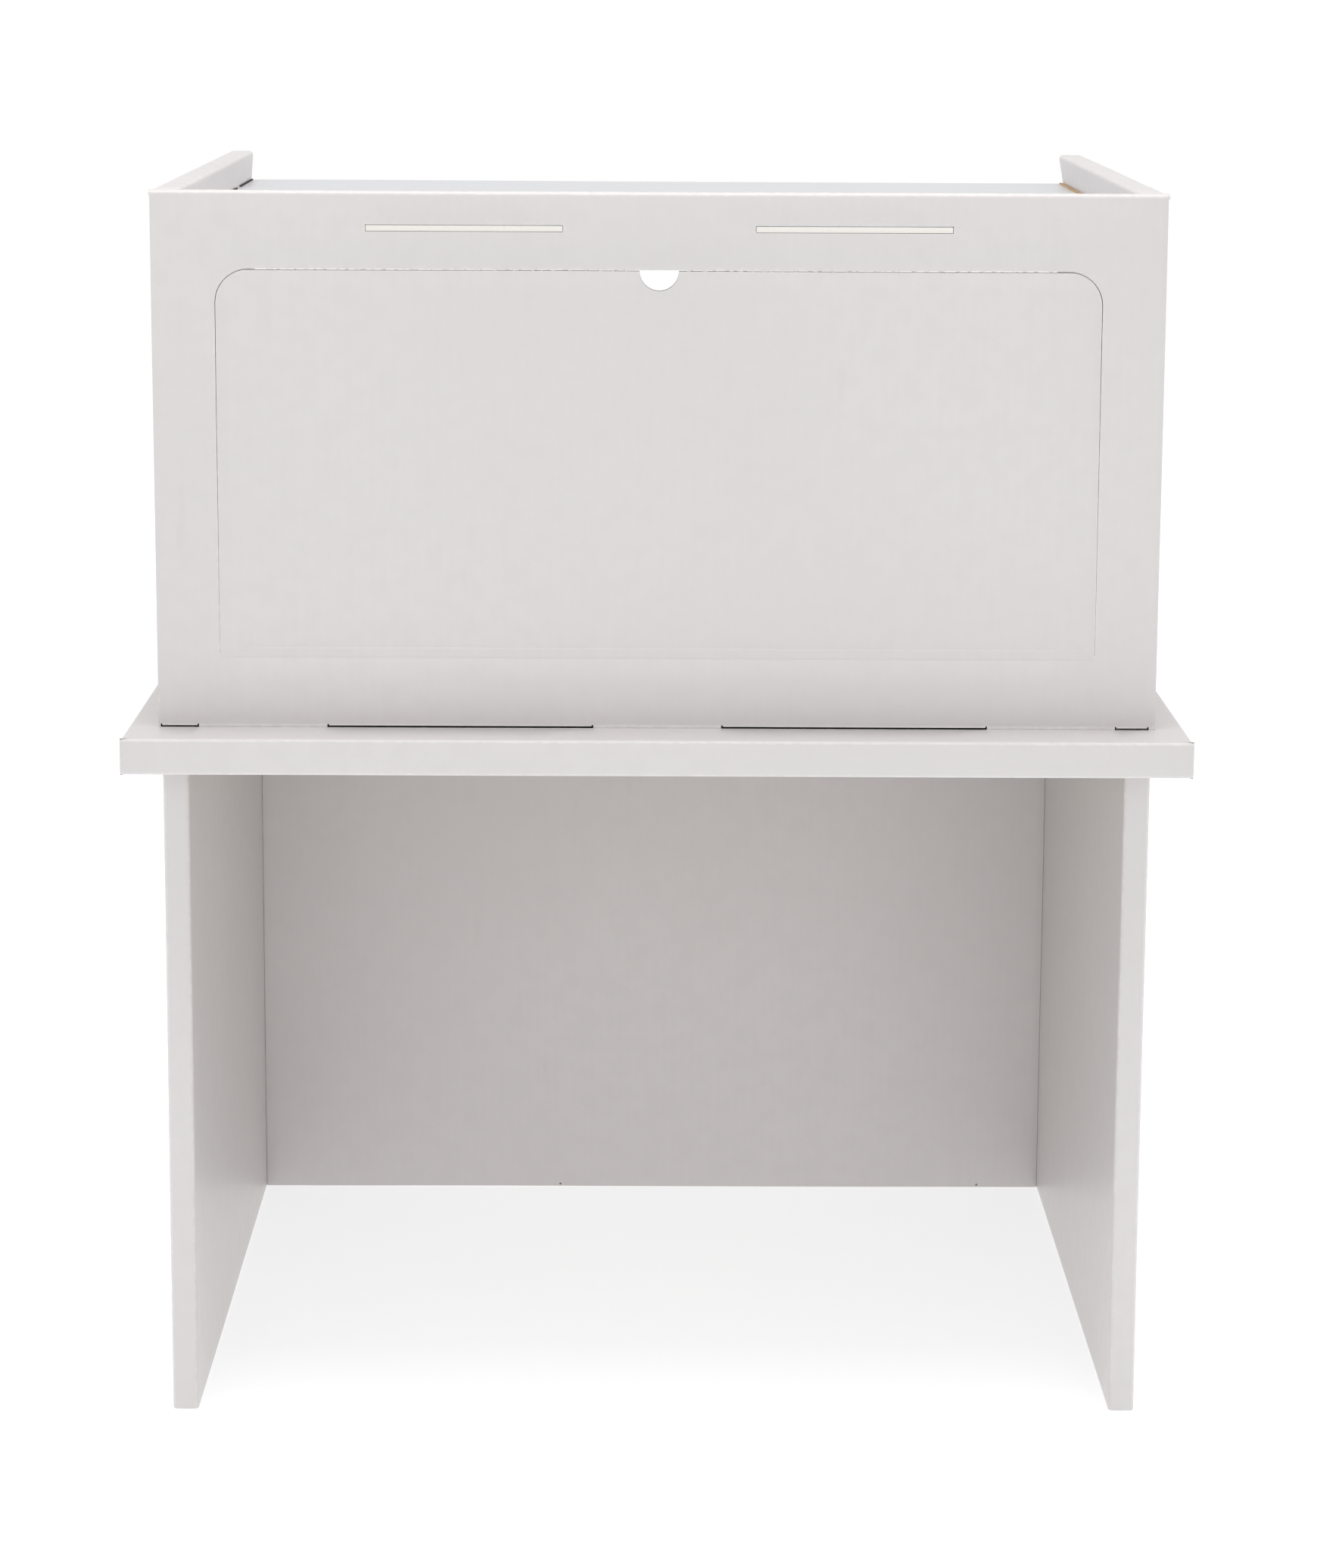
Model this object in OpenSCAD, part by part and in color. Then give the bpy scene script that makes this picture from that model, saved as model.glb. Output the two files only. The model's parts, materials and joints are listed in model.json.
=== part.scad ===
// Folded corrugated-board desk with a closed hutch. The hutch front has a drop flap on a crease.
// The origin is on the floor, under the middle of the tabletop. +Z is up and the front faces -Y.

/* [Board] */
// Thickness of the corrugated board
board_t = 4; // [3:0.5:5]
// Outside radius of a folded edge
fold_r = 3; // [1:0.5:3]
// Outside thickness of the hollow panels: the legs, the back panel and the hutch sides
panel_t = 19; // [15:1:30]
// Thickness of the board that the cores inside the hollow panels are folded from
core_t = 3; // [1.5:0.5:4]
// Distance between two like folds of a core
core_pitch = 64; // [40:1:90]
// Clearance on each side of a tab in its slot and of a piece that slides in
fit_gap = 0.3; // [0.2:0.05:0.6]

/* [Tabletop] */
// Width of the tabletop
desk_w = 760; // [630:10:1000]
// Depth of the tabletop
desk_d = 610; // [500:10:760]
// Height of the tabletop tray from its hem to its top
top_h = 26; // [22:1:40]
// Width of the hem folded in under the tray
hem_w = 45; // [43:1:60]
// Number of ribs that run across the width of the tray
long_ribs = 3; // [3:2:5]

/* [Legs] */
// Clear height of the kneehole, which is the height of the leg panels
knee_h = 496; // [400:1:720]
// Distance from the tabletop's side edge to the outside of a leg and of the hutch
side_over = 22; // [10:1:30]
// Distance from the tabletop's front edge to the front of the legs
leg_set = 62; // [20:1:90]
// Distance from the tabletop's back edge to the back of the legs
leg_back_set = 6; // [4:1:16]
// Length of the tabs on top of a leg
leg_tab_w = 70; // [40:1:90]
// Distance from a leg's front or back end to its tab
leg_tab_inset = 12; // [8:1:40]
// Height of the tabs at the ends of the back panel
end_tab_h = 60; // [40:1:90]

/* [Hutch] */
// Height of the hutch above the tabletop
hutch_h = 384; // [320:1:460]
// Width of the tabletop ledge in front of the hutch
ledge_d = 46; // [20:1:90]
// Distance from the tabletop's back edge to the back of the hutch
hutch_back_set = 25; // [10:1:60]
// Length of the two middle tabs at the foot of the front wall
foot_tab_w = 191; // [120:1:200]
// Distance from the middle of the front wall to the middle of a foot tab
foot_tab_x = 141.5; // [110:0.5:145]
// Length of the tabs at the foot corners of the front wall
corner_tab_w = 29; // [15:1:35]
// Length of the tabs at the foot of a hutch side
side_tab_w = 80; // [40:1:90]
// Depth of the foot tabs below the top of the tabletop
foot_tab_h = 10; // [6:0.5:12]
// Height of the slit that shows in the front wall above each foot tab
slit_h = 1.2; // [0.5:0.1:3]
// Depth of that slit, which is also how much thinner the tabs of the front wall are
slit_d = 1.6; // [0.5:0.1:2]

/* [Shelf] */
// Drop of the top shelf below the rim
shelf_drop = 24; // [12:1:40]
// Height of the lip folded down at the back of the shelf
shelf_lip = 30; // [15:1:50]
// Length of the two shelf tabs that show in the front wall
shelf_tab_w = 139; // [80:1:150]
// Distance from the middle of the front wall to the middle of a shelf tab
shelf_tab_x = 137.5; // [90:0.5:150]
// Length of the tabs at the sides of the shelf
shelf_side_tab = 60; // [30:1:90]

/* [Flap] */
// Distance from the hutch's side to the flap
flap_side = 45; // [30:1:80]
// Distance from the rim down to the flap's top edge
flap_top = 55.5; // [45:0.5:90]
// Distance from the tabletop up to the crease that the flap turns on
flap_foot = 54.5; // [30:0.5:90]
// Corner radius of the flap
flap_r = 24; // [5:1:60]
// Radius of the half-round finger notch
notch_r = 14; // [10:1:20]
// Width of the cut line around the flap
cut_gap = 0.4; // [0.3:0.05:0.8]
// Radius of the bead pressed up along the crease
bead_r = 0.5; // [0.4:0.05:0.8]

/* [Hidden] */
$fn = 48;

coated = [0.85, 0.84, 0.83];
glossy = [0.92, 0.92, 0.93];
kraft = [0.66, 0.52, 0.38];
past = 1;             // how far a cut runs past the face it opens
bead_play = 0.05;     // running clearance between the crease bead and the flap

// Tabletop
tray_in_w = desk_w - 2 * board_t;
tray_in_d = desk_d - 2 * board_t;
top_z = knee_h + top_h;
liner_z = knee_h + board_t;
rib_z = liner_z + board_t;
rib_h = top_z - board_t - rib_z;
rib_pitch = tray_in_d / (long_ribs + 1);

// Legs and back panel
body_w = desk_w - 2 * side_over;
knee_w = body_w - 2 * panel_t;
leg_front = -desk_d / 2 + leg_set;
leg_back = desk_d / 2 - leg_back_set;
back_front = leg_back - panel_t;
hollow = panel_t - 2 * board_t;
leg_tab_ys = [leg_front + leg_tab_inset + leg_tab_w / 2, leg_back - leg_tab_inset - leg_tab_w / 2];
leg_tab_h = 2 * board_t;
tab_reach = 3;        // how far a tab stands out behind the board that it goes through
core_head = 10;       // room left above a core in a hutch side, under the tabs of the shelf

// Hutch
wall_front = -desk_d / 2 + ledge_d;
wall_back = wall_front + board_t;
hutch_back = desk_d / 2 - hutch_back_set;
hutch_d = hutch_back - wall_back;
rim_z = top_z + hutch_h;
shelf_top = rim_z - shelf_drop;
shelf_under = shelf_top - board_t;
shelf_w = knee_w - 2 * fit_gap;
side_tab_y = rib_pitch / 2;
shelf_tab_y = hutch_d / 4;
hutch_mid_y = (wall_back + hutch_back) / 2;
side_core_top = shelf_under - core_head;

// Flap
flap_w = body_w - 2 * flap_side;
crease_z = top_z + flap_foot;
flap_top_z = rim_z - flap_top;

// Cross ribs stand in the clear strips between the foot tabs of the front wall.
cross_x = (foot_tab_x + foot_tab_w / 2 + body_w / 2 - corner_tab_w) / 2;
long_ys = [for (i = [1 : long_ribs]) -tray_in_d / 2 + i * rib_pitch];
cross_xs = [-cross_x, 0, cross_x];

// ---- shared shapes ----

// A box given by its lowest and highest corners
module block(low, high) {
    translate(low) cube(high - low);
}

// A rectangle from low to high with radius r on the corners that are named: [left, right, right, left]
// counted anticlockwise from the lowest corner
module card(low, high, r, rounded = [1, 1, 1, 1]) {
    size = high - low;
    corners = [[0, 0], [1, 0], [1, 1], [0, 1]];
    difference() {
        translate(low) square(size);
        for (i = [0 : 3]) {
            if (rounded[i] == 1) {
                corner_cut(low, size, corners[i], r);
            }
        }
    }
}

// What a rounded corner takes off a rectangle
module corner_cut(low, size, at, r) {
    inward = [1 - 2 * at[0], 1 - 2 * at[1]];
    tip = [low[0] + at[0] * size[0], low[1] + at[1] * size[1]];
    translate(tip) scale([inward[0], inward[1]]) difference() {
        translate([-past, -past]) square(r + past);
        translate([r, r]) circle(r = r);
    }
}

// Extrudes a shape drawn in (Y, Z) along X, from x0 to x1
module along_x(x0, x1) {
    translate([x0, 0, 0]) rotate([90, 0, 90]) linear_extrude(x1 - x0) children();
}

// Extrudes a shape drawn in (X, Z) along Y, from y0 to y1
module along_y(y0, y1) {
    translate([0, y1, 0]) rotate([90, 0, 0]) linear_extrude(y1 - y0) children();
}

// A strip folded to and fro so that it holds two skins apart: length along X, depth along Y
module square_wave(length, depth) {
    bays = floor(length / (core_pitch / 2));
    bay = (length - core_t) / bays;
    for (i = [0 : bays - 1]) {
        translate([i * bay, (i % 2) * (depth - core_t)]) square([bay + core_t, core_t]);
        translate([i * bay, 0]) square([core_t, depth]);
    }
    translate([length - core_t, 0]) square([core_t, depth]);
}

// ---- tabletop ----

module tabletop_tray() {
    half_w = desk_w / 2;
    half_d = desk_d / 2;
    color(coated)
    difference() {
        intersection() {
            along_x(-half_w, half_w) card([-half_d, knee_h], [half_d, top_z], fold_r);
            along_y(-half_d, half_d) card([-half_w, knee_h], [half_w, top_z], fold_r);
        }
        block([-tray_in_w / 2, -tray_in_d / 2, liner_z], [tray_in_w / 2, tray_in_d / 2, top_z - board_t]);
        block([hem_w - half_w, hem_w - half_d, knee_h - past],
            [half_w - hem_w, half_d - hem_w, liner_z + past]);
        foot_tabs(fit_gap, past);
        side_tabs(fit_gap, past);
        leg_tabs(fit_gap, past);
    }
}

module underside_panel() {
    color(coated)
    difference() {
        block([-tray_in_w / 2 + fit_gap, -tray_in_d / 2 + fit_gap, liner_z],
            [tray_in_w / 2 - fit_gap, tray_in_d / 2 - fit_gap, rib_z]);
        leg_tabs(fit_gap, past);
    }
}

// A rib across the width, with its slots open at the top
module long_rib(y) {
    color(kraft)
    difference() {
        block([-tray_in_w / 2 + fit_gap, y - board_t / 2, rib_z],
            [tray_in_w / 2 - fit_gap, y + board_t / 2, rib_z + rib_h]);
        for (x = cross_xs) {
            block([x - board_t / 2 - fit_gap, y - board_t, rib_z + rib_h / 2],
                [x + board_t / 2 + fit_gap, y + board_t, rib_z + rib_h + past]);
        }
    }
}

// A rib from front to back, with its slots open at the bottom
module cross_rib(x) {
    color(kraft)
    difference() {
        block([x - board_t / 2, -tray_in_d / 2 + fit_gap, rib_z],
            [x + board_t / 2, tray_in_d / 2 - fit_gap, rib_z + rib_h]);
        for (y = long_ys) {
            block([x - board_t, y - board_t / 2 - fit_gap, rib_z - past],
                [x + board_t, y + board_t / 2 + fit_gap, rib_z + rib_h / 2]);
        }
    }
}

module long_rib_front() {
    long_rib(long_ys[0]);
}

module long_rib_middle() {
    for (i = [1 : long_ribs - 2]) {
        long_rib(long_ys[i]);
    }
}

module long_rib_back() {
    long_rib(long_ys[long_ribs - 1]);
}

module cross_rib_left() {
    cross_rib(cross_xs[0]);
}

module cross_rib_middle() {
    cross_rib(cross_xs[1]);
}

module cross_rib_right() {
    cross_rib(cross_xs[2]);
}

// ---- legs and back panel ----

// The tabs on top of both legs. With a gap and an extra height they are the slots that take them.
module leg_tabs(gap = 0, extra = 0) {
    for (side = [-1, 1]) {
        mirror([side < 0 ? 1 : 0, 0, 0]) leg_tab_pair(gap, extra);
    }
}

module leg_tab_pair(gap, extra) {
    x = knee_w / 2;
    for (y = leg_tab_ys) {
        block([x - gap, y - leg_tab_w / 2 - gap, knee_h - extra],
            [x + board_t + gap, y + leg_tab_w / 2 + gap, knee_h + leg_tab_h + extra]);
    }
}

// The tabs at both ends of the back panel, which go through the inner skins of the legs
module end_tabs(gap = 0) {
    for (z = [knee_h / 4, knee_h * 3 / 4], side = [-1, 1]) {
        mirror([side < 0 ? 1 : 0, 0, 0])
            block([knee_w / 2 - gap, back_front - gap, z - end_tab_h / 2 - gap],
                [knee_w / 2 + board_t + tab_reach + gap, back_front + board_t + gap, z + end_tab_h / 2 + gap]);
    }
}

// The right leg: a sheet folded round a hollow and closed at its foot
module leg() {
    inner = knee_w / 2;
    outer = body_w / 2;
    difference() {
        intersection() {
            linear_extrude(knee_h) card([inner, leg_front], [outer, leg_back], fold_r);
            along_y(leg_front, leg_back) card([inner, 0], [outer, knee_h], fold_r, [1, 1, 0, 0]);
        }
        block([inner + board_t, leg_front + board_t, board_t],
            [outer - board_t, leg_back - board_t, knee_h + past]);
        end_tabs(fit_gap);
    }
    leg_tab_pair(0, 0);
}

module right_leg() {
    color(coated) leg();
}

module left_leg() {
    color(coated) mirror([1, 0, 0]) leg();
}

// The core in the right leg, from the leg's front to the tabs of the back panel
module leg_core() {
    core_d = back_front - leg_front - 2 * board_t;
    translate([body_w / 2 - board_t - fit_gap, leg_front + board_t + fit_gap, board_t])
        rotate([0, 0, 90])
        linear_extrude(knee_h - 2 * board_t)
        square_wave(core_d, hollow - 2 * fit_gap);
}

module right_leg_core() {
    color(kraft) leg_core();
}

module left_leg_core() {
    color(kraft) mirror([1, 0, 0]) leg_core();
}

module back_panel() {
    color(coated) {
        difference() {
            along_x(-knee_w / 2, knee_w / 2) card([back_front, 0], [leg_back, knee_h], fold_r);
            block([-knee_w, back_front + board_t, board_t], [knee_w, leg_back - board_t, knee_h - board_t]);
        }
        end_tabs();
    }
}

module back_panel_core() {
    core_w = knee_w - 4 * board_t;
    color(kraft)
    translate([-core_w / 2, back_front + board_t + fit_gap, board_t])
        linear_extrude(knee_h - 3 * board_t)
        square_wave(core_w, hollow - 2 * fit_gap);
}

// ---- hutch ----

// The tabs at the foot of the front wall
module foot_tabs(gap = 0, extra = 0) {
    corner_x = body_w / 2 - corner_tab_w / 2;
    for (side = [-1, 1]) {
        foot_tab(side * foot_tab_x, foot_tab_w, gap, extra);
        foot_tab(side * corner_x, corner_tab_w, gap, extra);
    }
}

module foot_tab(x, w, gap, extra) {
    block([x - w / 2 - gap, wall_front - gap, top_z - foot_tab_h - gap],
        [x + w / 2 + gap, wall_back + gap, top_z + extra]);
}

// What is left open in front of the front wall's tabs, so that a slit shows above the tabletop
module foot_slits() {
    intersection() {
        foot_tabs(past, slit_h);
        block([-desk_w, wall_front - past, 0], [desk_w, wall_front + slit_d, rim_z]);
    }
}

// The tabs at the feet of both hutch sides
module side_tabs(gap = 0, extra = 0) {
    for (side = [-1, 1]) {
        mirror([side < 0 ? 1 : 0, 0, 0]) side_tab_pair(gap, extra);
    }
}

module side_tab_pair(gap, extra) {
    x = knee_w / 2;
    for (y = [-side_tab_y, side_tab_y]) {
        block([x - gap, y - side_tab_w / 2 - gap, top_z - foot_tab_h - gap],
            [x + board_t + gap, y + side_tab_w / 2 + gap, top_z + extra]);
    }
}

// The tabs of the shelf: two show in the front wall, and two on each side go into the hutch sides
module shelf_front_tabs(gap = 0, extra = 0) {
    for (side = [-1, 1]) {
        x = side * shelf_tab_x;
        block([x - shelf_tab_w / 2 - gap, wall_front - extra, shelf_under - gap],
            [x + shelf_tab_w / 2 + gap, wall_back + fit_gap, shelf_top + gap]);
    }
}

module shelf_side_tabs(gap = 0) {
    for (side = [-1, 1], way = [-1, 1]) {
        y = hutch_mid_y + way * shelf_tab_y;
        mirror([side < 0 ? 1 : 0, 0, 0])
            block([shelf_w / 2 - gap, y - shelf_side_tab / 2 - gap, shelf_under - gap],
                [knee_w / 2 + board_t + tab_reach + gap, y + shelf_side_tab / 2 + gap, shelf_top + gap]);
    }
}

// The outline of the flap in (X, Z), larger by gap all round but for its foot
module flap_outline(gap = 0) {
    r = flap_r + gap;
    card([-flap_w / 2 - gap, crease_z], [flap_w / 2 + gap, flap_top_z + gap], r, [0, 0, 1, 1]);
}

// The line that the flap turns on, at the front face of the wall
module crease_line(r, length) {
    translate([-length / 2, wall_front, crease_z]) rotate([0, 90, 0]) cylinder(r = r, h = length);
}

module hutch_front_wall() {
    hem_back = wall_back + board_t;
    hem_w2 = knee_w / 2 - fit_gap;
    color(coated) {
        difference() {
            union() {
                along_x(-body_w / 2, body_w / 2)
                    card([wall_front, top_z], [wall_back, rim_z], fold_r, [0, 0, 0, 1]);
                along_x(-hem_w2, hem_w2)
                    card([wall_back - past, shelf_top], [hem_back, rim_z], fold_r, [0, 0, 1, 0]);
                foot_tabs();
            }
            foot_slits();
            along_y(wall_front - past, wall_back + past) flap_outline(cut_gap);
            shelf_front_tabs(fit_gap, past);
        }
        crease_line(bead_r, flap_w);
    }
}

module drop_flap() {
    color(coated)
    difference() {
        along_y(wall_front, wall_back) difference() {
            flap_outline();
            translate([0, flap_top_z]) circle(r = notch_r);
            translate([-flap_w, crease_z - past]) square([2 * flap_w, past + cut_gap]);
        }
        crease_line(bead_r + bead_play, 2 * flap_w);
    }
}

// The right side of the hutch: a sheet folded over the top rail and round its back end
module hutch_side() {
    inner = knee_w / 2;
    outer = body_w / 2;
    difference() {
        intersection() {
            along_y(wall_back, hutch_back) card([inner, top_z], [outer, rim_z], fold_r, [0, 0, 1, 1]);
            linear_extrude(2 * rim_z) card([inner, wall_back], [outer, hutch_back], fold_r, [0, 0, 1, 1]);
        }
        block([inner + board_t, wall_back + board_t, top_z - past],
            [outer - board_t, hutch_back - board_t, rim_z - board_t]);
        shelf_side_tabs(fit_gap);
    }
    side_tab_pair(0, 0);
}

module hutch_right_side() {
    color(coated) hutch_side();
}

module hutch_left_side() {
    color(coated) mirror([1, 0, 0]) hutch_side();
}

module hutch_core() {
    translate([body_w / 2 - board_t - fit_gap, wall_back + board_t + fit_gap, top_z])
        rotate([0, 0, 90])
        linear_extrude(side_core_top - top_z)
        square_wave(hutch_d - 2 * board_t - 2 * fit_gap, hollow - 2 * fit_gap);
}

module hutch_right_core() {
    color(kraft) hutch_core();
}

module hutch_left_core() {
    color(kraft) mirror([1, 0, 0]) hutch_core();
}

module top_shelf() {
    shelf_front = wall_back + fit_gap;
    color(glossy) {
        difference() {
            along_x(-shelf_w / 2, shelf_w / 2)
                card([shelf_front, shelf_top - shelf_lip], [hutch_back, shelf_top], fold_r, [0, 0, 1, 0]);
            block([-shelf_w, shelf_front - past, shelf_top - shelf_lip - past],
                [shelf_w, hutch_back - board_t, shelf_under]);
        }
        shelf_front_tabs();
        shelf_side_tabs();
    }
}

tabletop_tray();
underside_panel();
long_rib_front();
long_rib_middle();
long_rib_back();
cross_rib_left();
cross_rib_middle();
cross_rib_right();
left_leg();
right_leg();
left_leg_core();
right_leg_core();
back_panel();
back_panel_core();
hutch_front_wall();
drop_flap();
hutch_left_side();
hutch_right_side();
hutch_left_core();
hutch_right_core();
top_shelf();
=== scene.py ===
import json
import math
import random

import bmesh
import bpy
from mathutils import Matrix, Vector


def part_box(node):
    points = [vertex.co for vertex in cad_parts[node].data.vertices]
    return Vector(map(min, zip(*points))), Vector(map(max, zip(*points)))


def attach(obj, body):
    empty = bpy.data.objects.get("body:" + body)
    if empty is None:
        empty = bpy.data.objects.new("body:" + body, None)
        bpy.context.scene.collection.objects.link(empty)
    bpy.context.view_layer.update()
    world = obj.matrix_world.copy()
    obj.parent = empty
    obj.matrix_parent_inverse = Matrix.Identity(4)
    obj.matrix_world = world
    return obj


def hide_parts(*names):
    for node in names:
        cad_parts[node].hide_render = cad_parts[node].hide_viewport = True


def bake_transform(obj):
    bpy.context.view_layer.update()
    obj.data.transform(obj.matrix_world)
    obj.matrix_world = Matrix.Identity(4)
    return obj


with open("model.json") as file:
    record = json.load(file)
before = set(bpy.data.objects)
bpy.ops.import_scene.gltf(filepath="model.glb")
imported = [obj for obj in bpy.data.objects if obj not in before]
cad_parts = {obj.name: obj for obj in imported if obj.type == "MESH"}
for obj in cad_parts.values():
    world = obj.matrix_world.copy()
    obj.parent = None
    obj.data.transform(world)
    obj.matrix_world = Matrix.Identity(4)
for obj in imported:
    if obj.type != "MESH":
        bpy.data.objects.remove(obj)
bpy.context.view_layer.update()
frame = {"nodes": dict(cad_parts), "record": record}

# ---------------------------------------------------------------------------
# Sizes, in millimetres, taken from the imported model
# ---------------------------------------------------------------------------

MM = 0.001
X, Y, Z = 0, 1, 2


def corners(node):
    """Lowest and highest corner of a CAD node, in millimetres."""
    low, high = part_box(node)
    return low / MM, high / MM


tray_low, tray_high = corners("tabletop_tray")
wall_low, wall_high = corners("hutch_front_wall")
flap_low, flap_high = corners("drop_flap")
leg_low, leg_high = corners("right_leg")
back_low, back_high = corners("back_panel")
side_low, side_high = corners("hutch_right_side")
shelf_low, shelf_high = corners("top_shelf")
hinge = Vector(frame["record"]["behaviour"]["joints"][0]["pos_m"]) / MM

board = flap_high.y - flap_low.y  # thickness of the board
front = flap_low.y  # the outer face of the front wall
top = tray_high.z  # the tabletop
fold = 3.0  # outer radius of a fold
flute = 7.9  # from one flute to the next
slack = 0.3  # room round a tab in its slot
inner_side = side_low.x - slack  # where the shelf and the rim's hem end
fill_step = 42.0  # a flat sheet has a line of points this often
margin = 8.0  # the lines of points stop this far from an edge
close = 0.02  # places nearer than this are one place
warp = 0.8  # how strongly the board buckles
wear_and_highlight_angle = math.radians(12)  # faces that meet at more than this have a lighter line between them, part wear and part painted highlight
soft_angle = math.radians(50)  # edges sharper than this are softened
smooth_angle = math.radians(32)  # faces that meet at less than this are shaded as one


# ---------------------------------------------------------------------------
# Working the mesh
# ---------------------------------------------------------------------------


def same(a, b):
    """Whether two places along an axis, in millimetres, are one."""
    return abs(a - b) < close


def work_on(piece, mode="OBJECT"):
    """Selects one piece alone, for the operators that follow."""
    bpy.ops.object.mode_set(mode="OBJECT")
    bpy.ops.object.select_all(action="DESELECT")
    piece.select_set(True)
    bpy.context.view_layer.objects.active = piece
    bpy.ops.object.mode_set(mode=mode)


def start(shape, name, low, high, turned=(0, 0, 0)):
    """Adds a primitive that fills the box between two corners, and opens it for shaping."""
    bpy.ops.object.select_all(action="DESELECT")
    low, high = Vector(low) * MM, Vector(high) * MM
    size = high - low
    if turned[0]:
        size = Vector((size.x, size.z, 1))
    add = {
        "cube": bpy.ops.mesh.primitive_cube_add,
        "plane": bpy.ops.mesh.primitive_plane_add,
    }[shape]
    add(size=1, location=(low + high) / 2, rotation=turned)
    piece = bpy.context.object
    piece.name = piece.data.name = name
    piece.scale = [side or 1 for side in size]
    bpy.ops.object.transform_apply(location=True, rotation=True, scale=True)
    bpy.ops.object.mode_set(mode="EDIT")
    return piece


def upright(name, low, high, at):
    """A sheet that stands across the desk and faces its front."""
    return start("plane", name, (low[0], at, low[1]), (high[0], at, high[1]), (math.pi / 2, 0, 0))


def pick(kind, test):
    """Selects the faces, edges or points whose middle, in millimetres, passes the test."""
    bpy.ops.mesh.select_mode(type=kind)
    bpy.ops.mesh.select_all(action="DESELECT")
    data = bpy.context.object.data
    mesh = bmesh.from_edit_mesh(data)
    found = 0
    for part in {"VERT": mesh.verts, "EDGE": mesh.edges, "FACE": mesh.faces}[kind]:
        points = [part.co] if kind == "VERT" else [v.co for v in part.verts]
        middle = sum(points, Vector()) / len(points) / MM
        if test(middle, part):
            part.select_set(True)
            found += 1
    mesh.select_flush_mode()
    bmesh.update_edit_mesh(data)
    return found


def cut(axis, places):
    """Cuts right through the sheet at each place along an axis."""
    normal = Vector([float(axis == i) for i in range(3)])
    for place in places:
        bpy.ops.mesh.select_all(action="SELECT")
        bpy.ops.mesh.bisect(plane_co=normal * place * MM, plane_no=normal)


def fill(axis, places):
    """Cuts at the places and, where two of them lie far apart, between them as well."""
    places = sorted(places)
    between = []
    for low, high in zip(places, places[1:]):
        count = math.ceil((high - low) / fill_step)
        between += [low + (high - low) * i / count for i in range(count)]
    cut(axis, between + places[-1:])


def both(*places):
    """The places to the right, and the same ones to the left."""
    return [side * place for place in places for side in (-1, 1)]


def remove(test):
    """Deletes the faces that pass the test."""
    pick("FACE", test)
    bpy.ops.mesh.delete(type="FACE")


def round_off(test, width=fold, steps=4):
    """Rounds the edges that pass the test, as a fold does."""
    if pick("EDGE", test):
        bpy.ops.mesh.bevel(
            offset=width * MM, segments=steps, profile=0.5, affect="EDGES", clamp_overlap=False
        )


def round_corner(test, radius, steps=9):
    """Rounds the corners of an outline."""
    pick("VERT", test)
    bpy.ops.mesh.bevel(
        offset=radius * MM, segments=steps, profile=0.5, affect="VERTICES", clamp_overlap=False
    )


def draw_out(test, way):
    """Draws the edges that pass the test out along a vector."""
    pick("EDGE", test)
    bpy.ops.mesh.extrude_edges_move(
        TRANSFORM_OT_translate={"value": Vector(way) * MM, "use_proportional_edit": False}
    )


def shift(test, way):
    """Moves the points that pass the test along a vector."""
    if pick("VERT", test):
        bpy.ops.transform.translate(value=Vector(way) * MM, use_proportional_edit=False)


def lies_at(axis, *places):
    """A test: the middle is at one of the places on that axis."""
    return lambda at, part: any(same(at[axis], place) for place in places)


def runs_along(axis):
    """A test: the edge goes from one place on that axis to another."""
    return lambda at, part: not same(*[end.co[axis] / MM for end in part.verts])


def tidy_sheet():
    """Merges the points that lie at one place."""
    bpy.ops.mesh.select_all(action="SELECT")
    bpy.ops.mesh.remove_doubles(threshold=close * MM)
    bpy.ops.mesh.select_all(action="DESELECT")


# ---------------------------------------------------------------------------
# Finishing a sheet
# ---------------------------------------------------------------------------

slow_waves = bpy.data.textures.new("board_waves", "CLOUDS")
slow_waves.cloud_type = "COLOR"
slow_waves.noise_scale = 0.30
slow_waves.noise_depth = 1


def apply_all(piece):
    """Applies the modifiers of a piece, in their order."""
    work_on(piece)
    for modifier in list(piece.modifiers):
        bpy.ops.object.modifier_apply(modifier=modifier.name)


def buckle(piece):
    """No sheet of board is quite flat. Each point moves with one field, so neighbours still meet."""
    waves = piece.modifiers.new("buckle", "DISPLACE")
    waves.texture = slow_waves
    waves.direction = "RGB_TO_XYZ"
    waves.space = "LOCAL"
    waves.texture_coords = "LOCAL"
    waves.mid_level = 0.5
    waves.strength = warp * MM


def note(piece, name, worth):
    """Writes a number on each point of a piece, for its material to read."""
    numbers = piece.data.attributes.new(name, "FLOAT", "POINT")
    for point in piece.data.vertices:
        numbers.data[point.index].value = worth(point)


def note_folds(piece):
    """Marks the points where faces meet at an angle: folds and cut edges, which wear first and on
    coated board also get a painted highlight.
    """
    sharp = [0.0] * len(piece.data.vertices)
    normals = {}
    for face in piece.data.polygons:
        for key in face.edge_keys:
            normals.setdefault(key, []).append(face.normal)
    for (a, b), facing in normals.items():
        if len(facing) == 2 and facing[0].angle(facing[1], 0) > wear_and_highlight_angle:
            sharp[a] = sharp[b] = 1.0
    note(piece, "wear_and_highlight", lambda point: sharp[point.index])


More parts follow.
